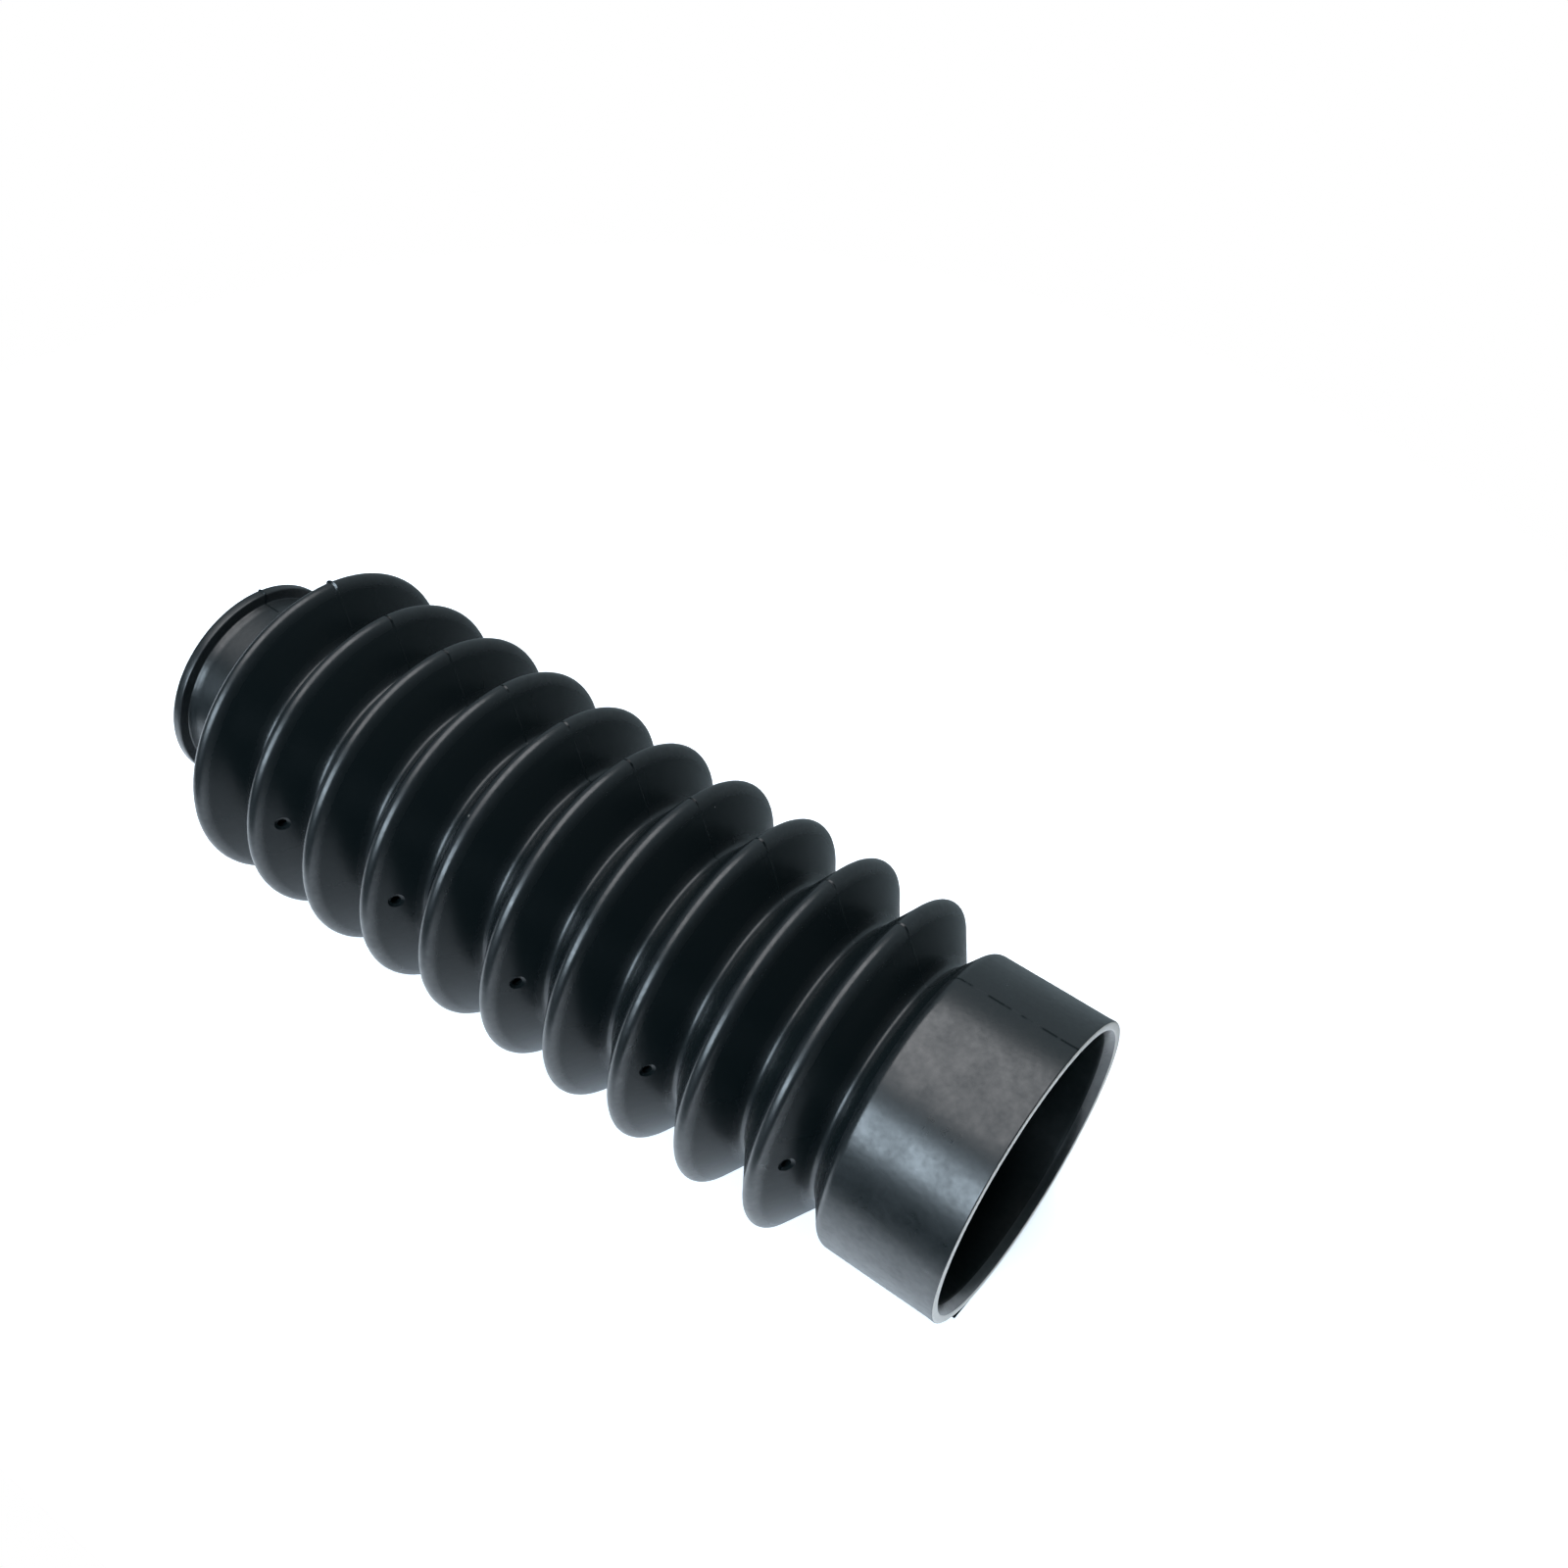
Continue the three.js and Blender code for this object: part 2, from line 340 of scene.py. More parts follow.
# %% [markdown]
# ## Breather holes and gate stub
# Air has to leave the folds when the fork dives, so every second fold has a small hole, moulded
# by a pin that also leaves a shallow dish. A hole could be painted on as a black spot, but a
# real one shows its wall from the side. A cutter of a pin and a cone is placed on each of five
# points up the gaiter and is cut away. The stub is the rubber left in the mould's gate. It was
# torn off, not cut, so it is left as a wedge: a box whose depth rises to a peak and falls again.

# %% Tree: cut the holes
HOLE_SIDES = 32
hole_lean = leans[2]
hole_low, hole_high = on_round(rounds[1], hole_lean), on_round(rounds[2], hole_lean)
hole_r, hole_z = (hole_low[0] + hole_high[0]) / 2, (hole_low[1] + hole_high[1]) / 2
pin = put(tree, "GeometryNodeMeshCylinder", {
    "Vertices": HOLE_SIDES, "Radius": given["Hole radius"], "Depth": 4 * WALL})
dish_radius = maths(tree, "ADD", given["Hole radius"], given["Dish margin"])
dish = put(tree, "GeometryNodeMeshCone", {
    "Vertices": HOLE_SIDES, "Radius Bottom": given["Hole radius"],
    "Radius Top": maths(tree, "ADD", dish_radius, given["Dish margin"]),
    "Depth": maths(tree, "MULTIPLY", given["Dish depth"], 2.0)})
dish_sink = put(tree, "ShaderNodeCombineXYZ", {"Z": maths(tree, "MULTIPLY", given["Dish depth"], -1.0)})
dish = put(tree, "GeometryNodeTransform", {"Geometry": dish, "Translation": dish_sink})
cutter = put(tree, "GeometryNodeMeshBoolean", {1: pin}, operation="UNION", solver="MANIFOLD")
tree.links.new(dish, cutter.node.inputs[1])
hole_start = put(tree, "ShaderNodeCombineXYZ", {"X": hole_r, "Z": hole_z})
hole_points = put(tree, "GeometryNodeMeshLine", {
    "Count": given["Holes"], "Start Location": turned(hole_start, given["Hole row angle"]),
    "Offset": (0.0, 0.0, 2 * PITCH)})
hole_turn = put(tree, "ShaderNodeCombineXYZ", {"Y": quarter - hole_lean, "Z": given["Hole row angle"]})
cutters = put(tree, "GeometryNodeInstanceOnPoints", {
    "Points": hole_points, "Instance": cutter, "Rotation": hole_turn})
cutters = put(tree, "GeometryNodeRealizeInstances", {"Geometry": cutters})
with_holes = put(tree, "GeometryNodeMeshBoolean", {0: closed, 1: cutters},
                 operation="DIFFERENCE", solver="MANIFOLD")

# %% Tree: the gate stub, a wedge with its peak nearer one end
STUB_ROOT, STUB_MIDDLE_Z = 1.2 * MM, 1.35 * MM
PEAK_AT, END_DEPTH = 0.2, 0.41
stub_depth = maths(tree, "ADD", given["Stub proud"], STUB_ROOT)
stub = put(tree, "GeometryNodeMeshCube", {
    "Size": put(tree, "ShaderNodeCombineXYZ", {
        "X": stub_depth, "Y": given["Stub width"], "Z": given["Stub height"]}),
    "Vertices X": 2, "Vertices Y": 21, "Vertices Z": 2})
stub_place = put(tree, "GeometryNodeInputPosition")
stub_parts = put(tree, "ShaderNodeSeparateXYZ", {0: stub_place}).node
along_stub = maths(tree, "DIVIDE", stub_parts.outputs["Y"], given["Stub width"])
rising = put(tree, "ShaderNodeMapRange", {
    "Value": along_stub, "From Min": -0.5, "From Max": PEAK_AT, "To Min": END_DEPTH, "To Max": 1.0})
falling = put(tree, "ShaderNodeMapRange", {
    "Value": along_stub, "From Min": PEAK_AT, "From Max": 0.5, "To Min": 1.0, "To Max": END_DEPTH})
wedge = maths(tree, "MINIMUM", rising, falling)
from_root = maths(tree, "ADD", stub_parts.outputs["X"], maths(tree, "MULTIPLY", stub_depth, 0.5))
stub_point = put(tree, "ShaderNodeCombineXYZ", {
    "X": maths(tree, "ADD", maths(tree, "MULTIPLY", from_root, wedge), CUFF_RADIUS - STUB_ROOT),
    "Y": stub_parts.outputs["Y"],
    "Z": maths(tree, "ADD", stub_parts.outputs["Z"], STUB_MIDDLE_Z)})
stub = put(tree, "GeometryNodeSetPosition", {
    "Geometry": stub, "Position": turned(stub_point, given["Stub angle"])})
with_stub = put(tree, "GeometryNodeMeshBoolean", {1: with_holes}, operation="UNION", solver="MANIFOLD")
tree.links.new(stub, with_stub.node.inputs[1])

# %% [markdown]
# ## Finishes as node groups
# Black rubber is mostly told by its gloss. Each effect on it is a node group, so that all the
# finishes can share it. The bloom is the cloudy film that waxes leave when they come out of
# the rubber: it is paler and duller than clean rubber. The grain is the fine roughness that
# the mould's face leaves. The specks are lint and dust. The last group says where the skin
# keeps its full shine: on the crests, the cuff and the collar, and a little in the bottom of a
# fold. The low shine and missing bloom on the flanks between them are painted shade between
# the folds, and the shine in a fold's bottom is a painted highlight on its valley line. The
# parting line is dull as well, in dashes.


# %% Helpers for shader groups
def shader_group(name, inputs, outputs):
    group = bpy.data.node_groups.new(name, "ShaderNodeTree")
    for socket, value in inputs.items():
        new_socket(group, socket, "Float", value)
    for socket in outputs:
        new_socket(group, socket, "Float", output=True)
    start = group.nodes.new("NodeGroupInput").outputs
    end = group.nodes.new("NodeGroupOutput").inputs
    where = put(group, "ShaderNodeTexCoord", out="Object")
    return group, start, end, where


# %% Group: cloudy bloom
CLOUD_SHARE, MOTTLE_SHARE = 0.6, 0.4
NO_BLOOM_BELOW, FULL_BLOOM_ABOVE = 0.28, 0.68
bloom, start, end, where = shader_group(
    "cloudy_bloom", {"Cloud size": 170.0, "Mottle size": 800.0}, ["Bloom"])
cloud = put(bloom, "ShaderNodeTexNoise", {
    "Vector": where, "Scale": start["Cloud size"], "Detail": 4.0, "Distortion": 0.6})
mottle = put(bloom, "ShaderNodeTexNoise", {"Vector": where, "Scale": start["Mottle size"], "Detail": 1.0})
blend = maths(bloom, "ADD", maths(bloom, "MULTIPLY", cloud, CLOUD_SHARE),
              maths(bloom, "MULTIPLY", mottle, MOTTLE_SHARE))
spread = put(bloom, "ShaderNodeMapRange", {
    "Value": blend, "From Min": NO_BLOOM_BELOW, "From Max": FULL_BLOOM_ABOVE, "To Min": 0.0, "To Max": 1.0})
bloom.links.new(spread, end["Bloom"])

# %% Group: moulded grain
FINE_SHARE = 0.4
grain, start, end, where = shader_group(
    "moulded_grain", {"Grain size": 900.0, "Ripple size": 120.0}, ["Height"])
fine = put(grain, "ShaderNodeTexNoise", {"Vector": where, "Scale": start["Grain size"], "Detail": 0.0})
ripple = put(grain, "ShaderNodeTexNoise", {"Vector": where, "Scale": start["Ripple size"], "Detail": 2.0})
height = maths(grain, "ADD", maths(grain, "MULTIPLY", fine, FINE_SHARE), ripple)
grain.links.new(height, end["Height"])

# %% Group: dust specks
specks, start, end, where = shader_group(
    "dust_specks", {"Spread": 110.0, "Speck radius": 0.03, "Share": 0.1}, ["Specks"])
cells = put(specks, "ShaderNodeTexVoronoi", {"Vector": where, "Scale": start["Spread"]}).node
draw = put(specks, "ShaderNodeSeparateColor", {0: cells.outputs["Color"]})
chosen = maths(specks, "LESS_THAN", draw, start["Share"])
near = maths(specks, "LESS_THAN", cells.outputs["Distance"], start["Speck radius"])
specks.links.new(maths(specks, "MULTIPLY", chosen, near), end["Specks"])


# %% Group: shine of the skin, with painted shade and highlight in the folds
VALLEY_HIGHLIGHT = 0.7
LINE_CORE = 0.15 * MM
DASH_FROM, DASH_TO = 0.44, 0.52
fold_shade, start, end, where = shader_group("fold_shade_and_highlight", {
    "Valley highlight to": 29.0 * MM, "Fold bottom": 34.6 * MM, "Fold top": 37.0 * MM,
    "Cuff height": CUFF_HEIGHT, "Neck height": neck_foot_z,
    "Line width": 0.42 * MM, "Dash size": 260.0}, ["Rubbed"])
where_parts = put(fold_shade, "ShaderNodeSeparateXYZ", {0: where}).node
x, y, z = (where_parts.outputs[axis] for axis in "XYZ")
x_and_y = put(fold_shade, "ShaderNodeCombineXYZ", {"X": x, "Y": y})
radius = vector_maths(fold_shade, "LENGTH", x_and_y, out="Value")
# Full shine towards the crests only: the drop in shine below the fold top is painted shade between the
# folds.
out_of_fold_shade = put(fold_shade, "ShaderNodeMapRange", {
    "Value": radius, "From Min": start["Fold bottom"], "From Max": start["Fold top"],
    "To Min": 0.0, "To Max": 1.0}, interpolation_type="SMOOTHSTEP")
# Some shine back in a fold's bottom: a painted highlight on the valley line.
valley_highlight = put(fold_shade, "ShaderNodeMapRange", {
    "Value": radius, "From Min": start["Valley highlight to"], "From Max": VALLEY_RADIUS,
    "To Min": 0.0, "To Max": VALLEY_HIGHLIGHT})
out_of_fold_shade = maths(fold_shade, "MAXIMUM", out_of_fold_shade, valley_highlight)
on_cuff = maths(fold_shade, "LESS_THAN", z, start["Cuff height"])
on_neck = maths(fold_shade, "GREATER_THAN", z, start["Neck height"])
unshaded_skin = maths(fold_shade, "MAXIMUM", out_of_fold_shade, maths(fold_shade, "MAXIMUM", on_cuff, on_neck))
square_to_line = (math.sin(PARTING_ANGLE), -math.cos(PARTING_ANGLE), 0.0)
off_line = vector_maths(fold_shade, "DOT_PRODUCT", where, square_to_line, out="Value")
off_line = maths(fold_shade, "ABSOLUTE", off_line)
line = put(fold_shade, "ShaderNodeMapRange", {
    "Value": off_line, "From Min": LINE_CORE, "From Max": start["Line width"], "To Min": 1.0, "To Max": 0.0})
dashes = put(fold_shade, "ShaderNodeTexNoise", {
    "W": z, "Scale": start["Dash size"], "Detail": 1.0}, noise_dimensions="1D")
dashes = put(fold_shade, "ShaderNodeMapRange", {
    "Value": dashes, "From Min": DASH_FROM, "From Max": DASH_TO, "To Min": 0.0, "To Max": 1.0})
off_mouth = maths(fold_shade, "MAXIMUM", maths(fold_shade, "GREATER_THAN", z, MOUTH_BEVEL_HEIGHT),
                  maths(fold_shade, "GREATER_THAN", radius, CUFF_RADIUS - RIM_ROUND))
line = maths(fold_shade, "MULTIPLY", line, off_mouth)
matt = maths(fold_shade, "SUBTRACT", 1.0, maths(fold_shade, "MULTIPLY", line, dashes))
fold_shade.links.new(maths(fold_shade, "MULTIPLY", unshaded_skin, matt), end["Rubbed"])


# %% A rubber finish from the groups
RUBBER_IOR = 1.56
BLOOM_ON_SHINE = 0.28
DUST_COLOUR = (0.16, 0.16, 0.15)


def mix_colour(nodes, mask, low, high):
    """A colour that goes from low to high as the mask goes from 0 to 1."""
    node = put(nodes, "ShaderNodeMix", {}, data_type="RGBA").node
    nodes.links.new(mask, node.inputs[0])
    for socket, colour in ((node.inputs[6], low), (node.inputs[7], high)):
        if isinstance(colour, bpy.types.NodeSocket):
            nodes.links.new(colour, socket)
        else:
            socket.default_value = (*colour, 1.0)
    return node.outputs[2]


def rubber(name, clean, bloomed, gloss, dull, grain_depth, speck_share, shine=0.5, flank_shade_shine=None):
    """Satin rubber from a clean colour to a bloomed one, glossier where it is clean.
    With a flank shade shine, the flanks of the folds get that lower shine and no bloom, as painted shade."""
    material = bpy.data.materials.new(name)
    material.use_nodes = True
    nodes = material.node_tree
    shader = nodes.nodes["Principled BSDF"]
    shader.inputs["IOR"].default_value = RUBBER_IOR
    shader.inputs["Specular IOR Level"].default_value = shine
    film = put(nodes, "ShaderNodeGroup", node_tree=bloom)
    sheen = put(nodes, "ShaderNodeMapRange", {
        "Value": film, "To Min": shine * (1 + BLOOM_ON_SHINE), "To Max": shine * (1 - BLOOM_ON_SHINE)})
    if flank_shade_shine is not None:
        # Low shine and no bloom on the fold flanks: painted shade between the folds.
        unshaded_share = put(nodes, "ShaderNodeGroup", node_tree=fold_shade)
        film = maths(nodes, "MULTIPLY", film, unshaded_share)
        sheen = put(nodes, "ShaderNodeMapRange", {"Value": unshaded_share, "To Min": flank_shade_shine, "To Max": sheen})
    nodes.links.new(sheen, shader.inputs["Specular IOR Level"])
    dust = put(nodes, "ShaderNodeGroup", node_tree=specks)
    dust.node.inputs["Share"].default_value = speck_share
    relief = put(nodes, "ShaderNodeGroup", node_tree=grain)
    dusty = mix_colour(nodes, dust, mix_colour(nodes, film, clean, bloomed), DUST_COLOUR)
    roughness = put(nodes, "ShaderNodeMapRange", {"Value": film, "To Min": gloss, "To Max": dull})
    bump = put(nodes, "ShaderNodeBump", {"Height": relief, "Distance": grain_depth, "Strength": 1.0})
    nodes.links.new(dusty, shader.inputs["Base Color"])
    nodes.links.new(roughness, shader.inputs["Roughness"])
    nodes.links.new(bump, shader.inputs["Normal"])
    print("finish", name, "from", len(nodes.nodes), "nodes")
    return material


# On the outside, the fold flanks get the low shine of painted shade.
outside_rubber = rubber(
    "rubber_outside", clean=(0.0048, 0.0078, 0.0086), bloomed=(0.014, 0.017, 0.0185),
    gloss=0.265, dull=0.35, grain_depth=0.03 * MM, speck_share=0.1, flank_shade_shine=0.12)
# Inside, the rubber is rougher, as its finish; it is also darker with little shine, which is painted shade
# inside the gaiter.
inside_rubber_shaded = rubber(
    "rubber_inside_shaded", clean=(0.0024, 0.0055, 0.0062), bloomed=(0.0035, 0.007, 0.0075),
    gloss=0.42, dull=0.5, grain_depth=0.05 * MM, speck_share=0.05, shine=0.12)
# The rim's pale colour is a painted highlight: it stands in for a glint of the bright room on the rim's flat
# face.
rim_painted_highlight = rubber(
    "rubber_rim_painted_highlight", clean=(0.48, 0.445, 0.4), bloomed=(0.66, 0.62, 0.56),
    gloss=0.34, dull=0.45, grain_depth=0.05 * MM, speck_share=0.1)
# The stub's face is rough, as a torn face is; its black colour with no gloss at all is painted shade, the
# shade it lies in beside the table.
stub_painted_shade = rubber(
    "rubber_stub_painted_shade", clean=(0.003, 0.004, 0.0045), bloomed=(0.004, 0.005, 0.0055),
    gloss=0.8, dull=0.9, grain_depth=0.05 * MM, speck_share=0.0, shine=0.0)

# %% [markdown]
# ## Finishing the mesh
# The tree ends by shading the skin smooth, apart from its sharp corners and the edges of the
# dishes, and by giving each face its finish. A face looks inwards if its normal points back at
# the axis. The rim, painted pale as a highlight, is what faces straight down at the mouth, and
# the stub, painted black as shade, is what stands proud of the cuff beside it. The result is
# then made a plain mesh.

# %% Tree: smooth shading and finishes
SHARP_DISH, SHARP_CORNER = math.radians(12), math.radians(36)
DISH_REACH, STUB_TOP = 3.4 * MM, 3 * MM
FACING_IN, FACING_DOWN = -0.02, -0.75
smooth = put(tree, "GeometryNodeSetShadeSmooth", {
    "Geometry": with_stub, "Shade Smooth": True}, domain="FACE")
edge_angle = put(tree, "GeometryNodeInputMeshEdgeAngle")
flat_position = vector_maths(tree, "MULTIPLY", put(tree, "GeometryNodeInputPosition"), (1.0, 1.0, 0.0))
position_parts = put(tree, "ShaderNodeSeparateXYZ", {0: put(tree, "GeometryNodeInputPosition")}).node
away_from_axis = vector_maths(tree, "LENGTH", flat_position, out="Value")
mid_flank = maths(tree, "COMPARE", away_from_axis, hole_r, DISH_REACH)
past_cuff = maths(tree, "GREATER_THAN", position_parts.outputs["Z"], CUFF_HEIGHT)
dish_edge = maths(tree, "MULTIPLY", maths(tree, "GREATER_THAN", edge_angle, SHARP_DISH),
                  maths(tree, "MULTIPLY", mid_flank, past_cuff))
corner = maths(tree, "MAXIMUM", maths(tree, "GREATER_THAN", edge_angle, SHARP_CORNER), dish_edge)
smooth = put(tree, "GeometryNodeSetShadeSmooth", {
    "Geometry": smooth, "Selection": corner, "Shade Smooth": False}, domain="EDGE")
normal = put(tree, "GeometryNodeInputNormal")
straight_out = vector_maths(tree, "NORMALIZE", flat_position)
facing_out = vector_maths(tree, "DOT_PRODUCT", normal, straight_out, out="Value")
looks_in = maths(tree, "LESS_THAN", facing_out, FACING_IN)
normal_parts = put(tree, "ShaderNodeSeparateXYZ", {0: normal}).node
near_rim = maths(tree, "LESS_THAN", position_parts.outputs["Z"], MOUTH_BEVEL_HEIGHT)
looks_in = maths(tree, "MULTIPLY", looks_in, maths(tree, "SUBTRACT", 1.0, near_rim))
on_ring = maths(tree, "LESS_THAN", away_from_axis, CUFF_RADIUS)
on_stub = maths(tree, "MULTIPLY", maths(tree, "LESS_THAN", position_parts.outputs["Z"], STUB_TOP),
                maths(tree, "SUBTRACT", 1.0, on_ring))
on_rim = maths(tree, "MULTIPLY", maths(tree, "LESS_THAN", normal_parts.outputs["Z"], FACING_DOWN),
               maths(tree, "MULTIPLY", near_rim, on_ring))
finished = put(tree, "GeometryNodeRealizeInstances", {"Geometry": smooth})
finished = put(tree, "GeometryNodeSetMaterial", {"Geometry": finished, "Material": outside_rubber})
finished = put(tree, "GeometryNodeSetMaterial", {
    "Geometry": finished, "Selection": looks_in, "Material": inside_rubber_shaded})
finished = put(tree, "GeometryNodeSetMaterial", {
    "Geometry": finished, "Selection": on_rim, "Material": rim_painted_highlight})
finished = put(tree, "GeometryNodeSetMaterial", {
    "Geometry": finished, "Selection": on_stub, "Material": stub_painted_shade})
tree.links.new(finished, tree.nodes.new("NodeGroupOutput").inputs["Geometry"])

# %% Run the tree once and keep a plain mesh
modifier = gaiter.modifiers.new("moulded_gaiter", "NODES")
modifier.node_group = tree
for socket in tree.interface.items_tree:
    if socket.name in tree_inputs:
        modifier[socket.identifier] = tree_inputs[socket.name][1]
evaluated = gaiter.evaluated_get(bpy.context.evaluated_depsgraph_get())
gaiter_mesh = bpy.data.meshes.new_from_object(evaluated)
gaiter.modifiers.clear()
gaiter.data = gaiter_mesh
gaiter_mesh.name = "gaiter_rubber"
triangles = sum(len(face.vertices) - 2 for face in gaiter_mesh.polygons)
print("gaiter mesh:", len(gaiter_mesh.polygons), "faces,", triangles, "triangles")
print("finishes on it:", [m.name for m in gaiter_mesh.materials])


def volume(mesh):
    """Volume inside a closed mesh: above zero only where its faces point outwards."""
    mesh.calc_loop_triangles()
    corners = [[mesh.vertices[v].co for v in t.vertices] for t in mesh.loop_triangles]
    return sum(a.dot(b.cross(c)) for a, b, c in corners) / 6


print("rubber in it:", round(volume(gaiter_mesh) / MM ** 3 / 1000, 1), "cm3")

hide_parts("gaiter")
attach(gaiter, "root")

# %% [markdown]
# ## How it lies, and the camera
# The part stands on its cuff, but in the picture it lies on its side. Nothing is turned for
# that: the table is put where it would be, a plane that touches all the crests, and the camera
# goes where it was. So three directions are named: right, along the axis and past the cuff,
# up from the table, and away, square to both.

# %% Directions of the table
UP_ANGLE = math.radians(298.5)
to_right = Vector((0.0, 0.0, -1.0))
up = Vector((math.cos(UP_ANGLE), math.sin(UP_ANGLE), 0.0))
away = up.cross(to_right)


def lying(right_mm, away_mm, up_mm):
    """A point given from the middle of the cuff's rim, as the gaiter lies."""
    return (to_right * right_mm + away * away_mm + up * up_mm) * MM


# %% The camera
CAMERA_TURN, CAMERA_LIFT, CAMERA_ROLL = (math.radians(a) for a in (34.836, 49.94, -2.124))
CAMERA_DISTANCE = 384.25 * MM
SENSOR, FRAME_PIXELS, FOCAL_PIXELS = 36.0, 1600, 1860.5
aim = lying(-86.08, 37.38, 16.90)
back = (to_right * math.sin(CAMERA_TURN) * math.cos(CAMERA_LIFT)
        - away * math.cos(CAMERA_TURN) * math.cos(CAMERA_LIFT) + up * math.sin(CAMERA_LIFT))
across = up.cross(back).normalized()
upright = back.cross(across)
tilted = across * math.cos(CAMERA_ROLL) - upright * math.sin(CAMERA_ROLL)
camera_data = bpy.data.cameras.new("camera")
camera_data.sensor_width, camera_data.lens = SENSOR, SENSOR * FOCAL_PIXELS / FRAME_PIXELS
camera_data.clip_start = 0.01
camera = bpy.data.objects.new("camera", camera_data)
bpy.context.scene.collection.objects.link(camera)
camera.matrix_world = Matrix.Translation(aim + back * CAMERA_DISTANCE) @ Matrix(
    (tilted, back.cross(tilted), back)).transposed().to_4x4()
bpy.context.scene.camera = camera
print("camera at", [round(c / MM) for c in camera.matrix_world.translation], "mm")

# %% [markdown]
# ## Table, room and lamps
# Gloss on black rubber is a picture of the room, so the lamps are placed by what the cuff
# mirrors. A wide panel hangs overhead, a narrow bluish one stands in front, and between and
# around them the room is dark. The table is a white sheet that ends a hand's width in front.
# In what the rubber mirrors, the table also glows: painted light, brightest just in front of
# the gaiter and past its mouth. The glow fades out under the gaiter, as painted shade where
# the table is in shade, and the table fades out farther off on both sides.
# The camera sees the paper near the gaiter, with its shadow, and a white room farther off.
# A second sheet lies under the cuff's rim, for looks at the gaiter as it stands. Only the
# camera sees it, so it changes nothing on the rubber.


# %% A helper for flat stage pieces
def stage_sheet(name, centre, side, rise, material):
    """A flat sheet, from its centre and the two vectors from there to its edges."""
    mesh = bpy.data.meshes.new(name)
    corners = [centre + side * a + rise * b for a, b in ((-1, -1), (1, -1), (1, 1), (-1, 1))]
    mesh.from_pydata(corners, [], [(0, 1, 2, 3)])
    mesh.materials.append(material)
    sheet = bpy.data.objects.new(name, mesh)
    bpy.context.scene.collection.objects.link(sheet)


# %% Brightness and fades of the paper
PAPER_COLOUR, GLOW_COLOUR = (0.84, 0.88, 0.93, 1.0), (0.86, 0.94, 1.0, 1.0)
PAPER_GLOW, GROUND_GLOW, MIRRORED_GLOW = 0.72, 0.92, 0.75
SEEN_TO, GONE_FROM = 180 * MM, 300 * MM
DARK_FRONT, LIT_FRONT = -135 * MM, -87.75 * MM
LIT_BACK, DARK_BACK = 40 * MM, 80 * MM
SHADE_FRONT, SHADE_BACK = -CREST_RADIUS * 1.2, -CREST_RADIUS * 0.3
RIM_SHADE_FROM, RIM_SHADE_TO = -5 * MM, 3 * MM
gaiter_middle = (0.0, 0.0, top / 2)


def fade(nodes, value, start, end, first=0.0, last=1.0):
    """Goes from the first value to the last one between two places."""
    return put(nodes, "ShaderNodeMapRange", {
        "Value": value, "From Min": start, "From Max": end, "To Min": first, "To Max": last})


# %% The table, seen from its front only
def seen_from_front(name, camera_glow, seen_by_camera_only):
    """White paper that a camera behind it looks through."""
    material = bpy.data.materials.new(name)
    material.use_nodes = True
    nodes = material.node_tree
    paper = put(nodes, "ShaderNodeBsdfDiffuse", {"Color": PAPER_COLOUR})
    clear = put(nodes, "ShaderNodeBsdfTransparent")
    behind = put(nodes, "ShaderNodeNewGeometry", out="Backfacing")
    camera_ray = put(nodes, "ShaderNodeLightPath", out="Is Camera Ray")
    glossy_ray = put(nodes, "ShaderNodeLightPath", out="Is Glossy Ray")
    place = put(nodes, "ShaderNodeTexCoord", out="Object")
    from_gaiter = vector_maths(nodes, "DISTANCE", place, gaiter_middle, out="Value")
    far_off = fade(nodes, from_gaiter, SEEN_TO, GONE_FROM)
    if seen_by_camera_only:
        seen_ahead = maths(nodes, "MULTIPLY", camera_ray, maths(nodes, "SUBTRACT", 1.0, behind))
        hidden = maths(nodes, "SUBTRACT", 1.0, seen_ahead)
    else:
        hidden = maths(nodes, "MULTIPLY", camera_ray, behind)
        how_far_back = vector_maths(nodes, "DOT_PRODUCT", place, away, out="Value")
        dark_behind = fade(nodes, how_far_back, LIT_BACK, DARK_BACK)
        dark_in_front = fade(nodes, how_far_back, DARK_FRONT, LIT_FRONT, 1.0, 0.0)
        dark = maths(nodes, "MAXIMUM", dark_behind, dark_in_front)
        hidden = maths(nodes, "MAXIMUM", hidden, maths(nodes, "MULTIPLY", glossy_ray, dark))
        # For glossy rays the table glows: painted light in front of the gaiter and past its mouth, faded out
        # under the gaiter as painted shade.
        out_of_shade = fade(nodes, how_far_back, SHADE_FRONT, SHADE_BACK, 1.0, 0.0)
        how_far_right = vector_maths(nodes, "DOT_PRODUCT", place, to_right, out="Value")
        past_the_rim = fade(nodes, how_far_right, RIM_SHADE_FROM, RIM_SHADE_TO)
        painted_glow_share = maths(nodes, "MAXIMUM", out_of_shade, past_the_rim)
        glossy_ray = maths(nodes, "MULTIPLY", glossy_ray, painted_glow_share)
    hidden = maths(nodes, "MAXIMUM", hidden, maths(nodes, "MULTIPLY", camera_ray, far_off))
    glow = put(nodes, "ShaderNodeEmission", {
        "Color": GLOW_COLOUR,
        "Strength": maths(nodes, "ADD", maths(nodes, "MULTIPLY", camera_ray, camera_glow),
                          maths(nodes, "MULTIPLY", glossy_ray, MIRRORED_GLOW))})
    lit = put(nodes, "ShaderNodeAddShader", {0: paper, 1: glow})
    mixed = put(nodes, "ShaderNodeMixShader", {0: hidden, 1: lit, 2: clear})
    nodes.links.new(mixed, nodes.nodes["Material Output"].inputs["Surface"])
    return material


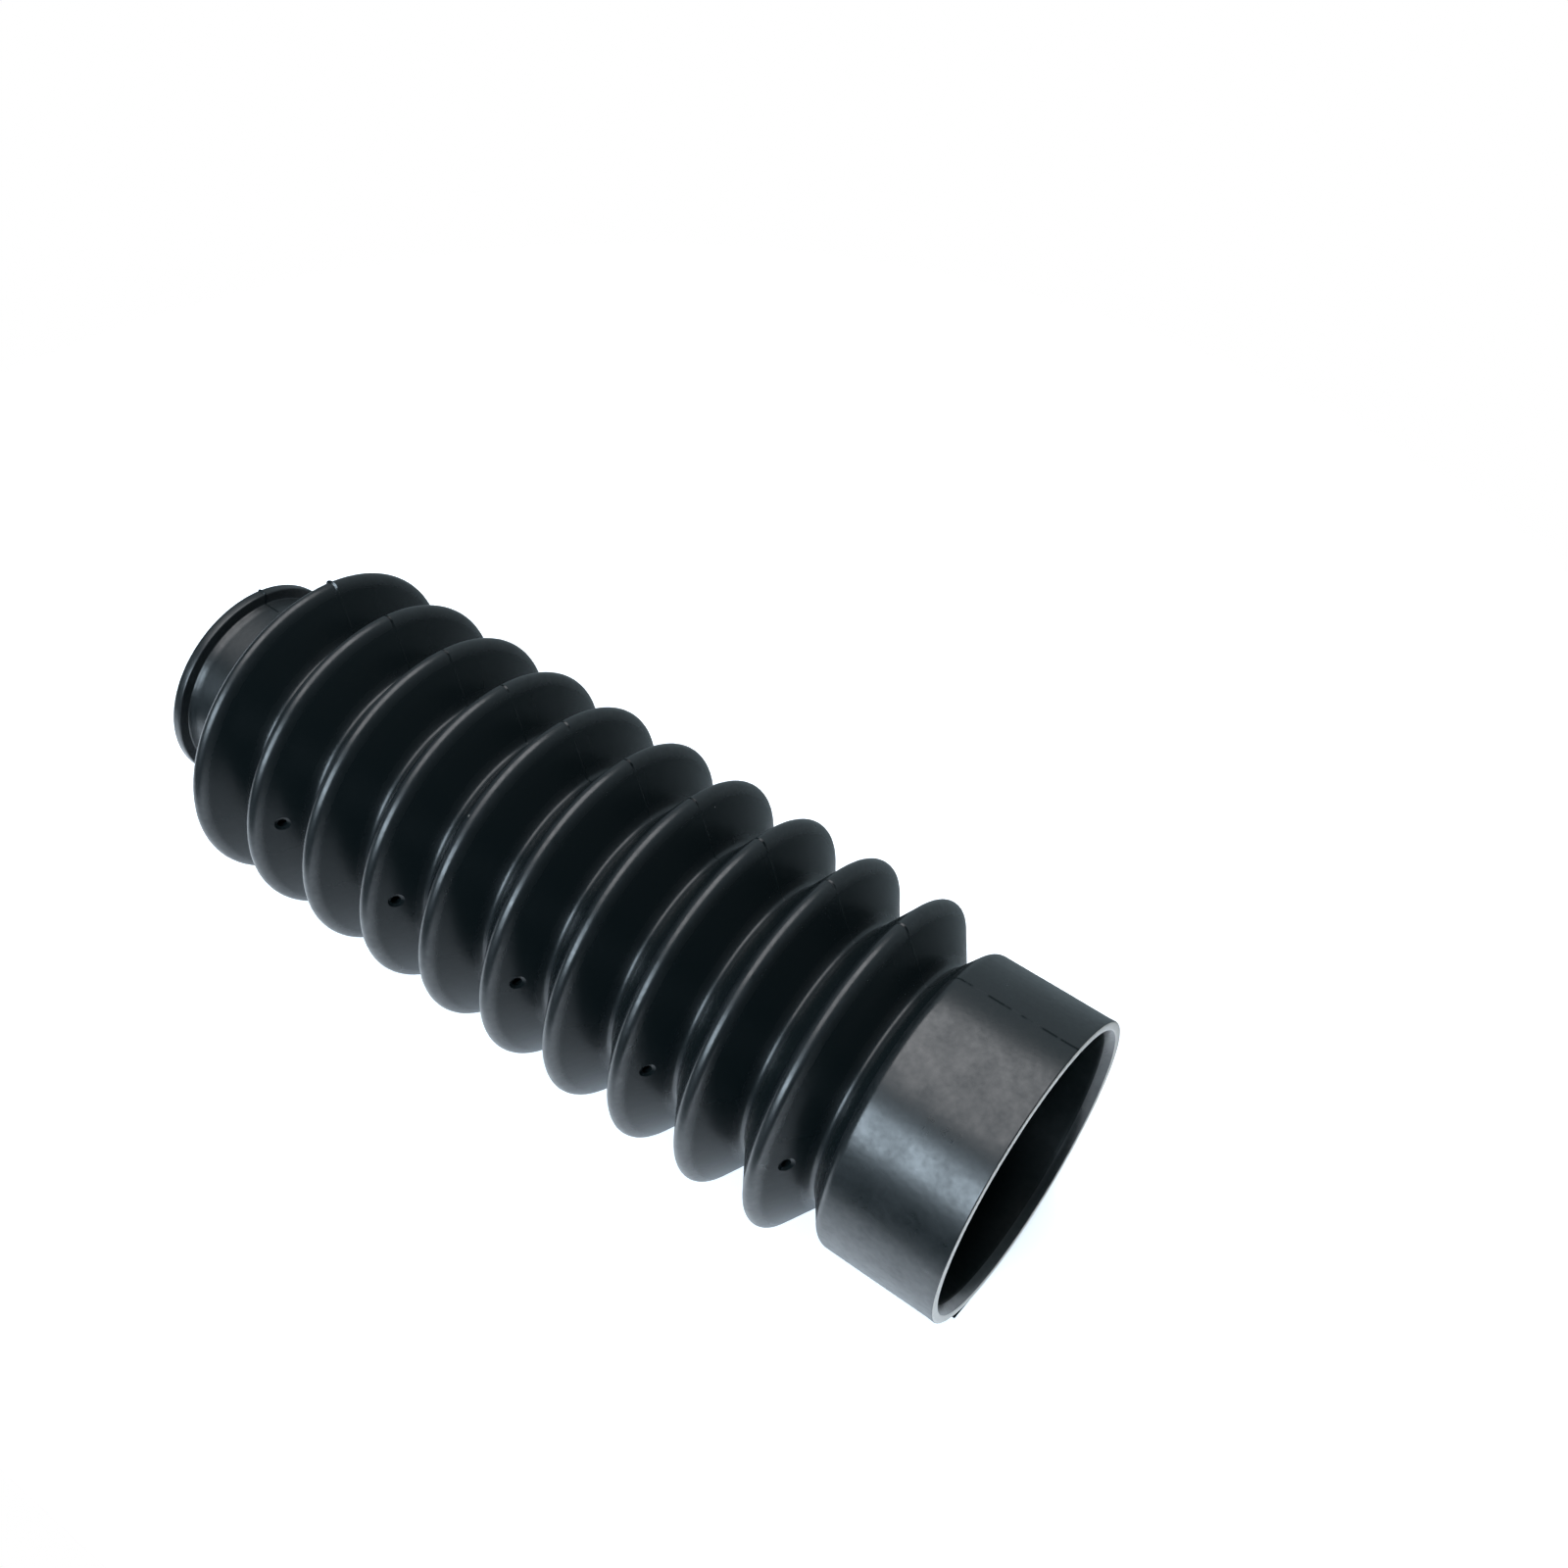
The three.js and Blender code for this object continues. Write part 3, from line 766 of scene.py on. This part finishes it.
table_paper = seen_from_front("table_paper", PAPER_GLOW, False)
TABLE_MIDDLE, TABLE_FRONT, TABLE_BACK, TABLE_ENDS = -100.0, -150.0, 900.0, 900.0
stage_sheet("table", lying(TABLE_MIDDLE, (TABLE_FRONT + TABLE_BACK) / 2, -CREST_RADIUS / MM),
            to_right * TABLE_ENDS * MM, away * (TABLE_BACK - TABLE_FRONT) / 2 * MM, table_paper)
ground_paper = seen_from_front("ground_paper", GROUND_GLOW, True)
GROUND_HALF = 1.5
stage_sheet("ground", Vector((0, 0, 0)), Vector((GROUND_HALF, 0, 0)), Vector((0, GROUND_HALF, 0)),
            ground_paper)

# %% The room: white to the camera, dim and bluish to everything else
DIM_COLOUR = (0.72, 0.9, 1.0, 1.0)
DIM_IN_FRONT, DIM_BEHIND = 0.04, 0.42
DIM_UNTIL, FULL_FROM = -0.2, 0.9
world = bpy.data.worlds.new("room")
world.use_nodes = True
bpy.context.scene.world = world
nodes = world.node_tree
dim = nodes.nodes["Background"]
dim.inputs["Color"].default_value = DIM_COLOUR
direction = put(nodes, "ShaderNodeTexCoord", out="Generated")
toward_back = vector_maths(nodes, "DOT_PRODUCT", direction, away, out="Value")
nodes.links.new(fade(nodes, toward_back, DIM_UNTIL, FULL_FROM, DIM_IN_FRONT, DIM_BEHIND),
                dim.inputs["Strength"])
white = put(nodes, "ShaderNodeBackground", {"Color": (1.0, 1.0, 1.0, 1.0), "Strength": 1.0})
seen = put(nodes, "ShaderNodeMixShader", {
    0: put(nodes, "ShaderNodeLightPath", out="Is Camera Ray"), 1: dim.outputs[0], 2: white})
nodes.links.new(seen, nodes.nodes["World Output"].inputs["Surface"])


# %% Lamps
def panel(name, centre, right_size, other_size, toward, radiance, colour):
    """A soft panel that faces a point, lit evenly to the given brightness."""
    lamp = bpy.data.lights.new(name, "AREA")
    lamp.shape, lamp.size, lamp.size_y = "RECTANGLE", right_size, other_size
    lamp.energy = radiance * 4 * right_size * other_size
    lamp.color = colour
    ray = (toward - centre).normalized()
    side = to_right - ray * to_right.dot(ray)
    side.normalize()
    one = bpy.data.objects.new(name, lamp)
    bpy.context.scene.collection.objects.link(one)
    turn = Matrix((side, side.cross(ray), -ray)).transposed().to_4x4()
    one.matrix_world = Matrix.Translation(centre) @ turn
    one.visible_camera = False
    print("lamp", name, "of", round(lamp.energy, 2), "W")


panel("overhead_panel", lying(-355, 120, 1000), right_size=1.01, other_size=1.3,
      toward=lying(-355, 120, 0), radiance=2.5, colour=(0.97, 0.97, 1.0))
panel("front_panel", lying(-200, -890, 515), right_size=1.0, other_size=0.4,
      toward=lying(-200, 0, 0), radiance=8.0, colour=(0.72, 0.87, 1.0))

# %% [markdown]
# ## The colour view
# The colours are shown plainly, through the Standard view transform. The dressed gaiter
# has to stay inside the solid part's box.


bpy.context.scene.view_settings.view_transform = "Standard"
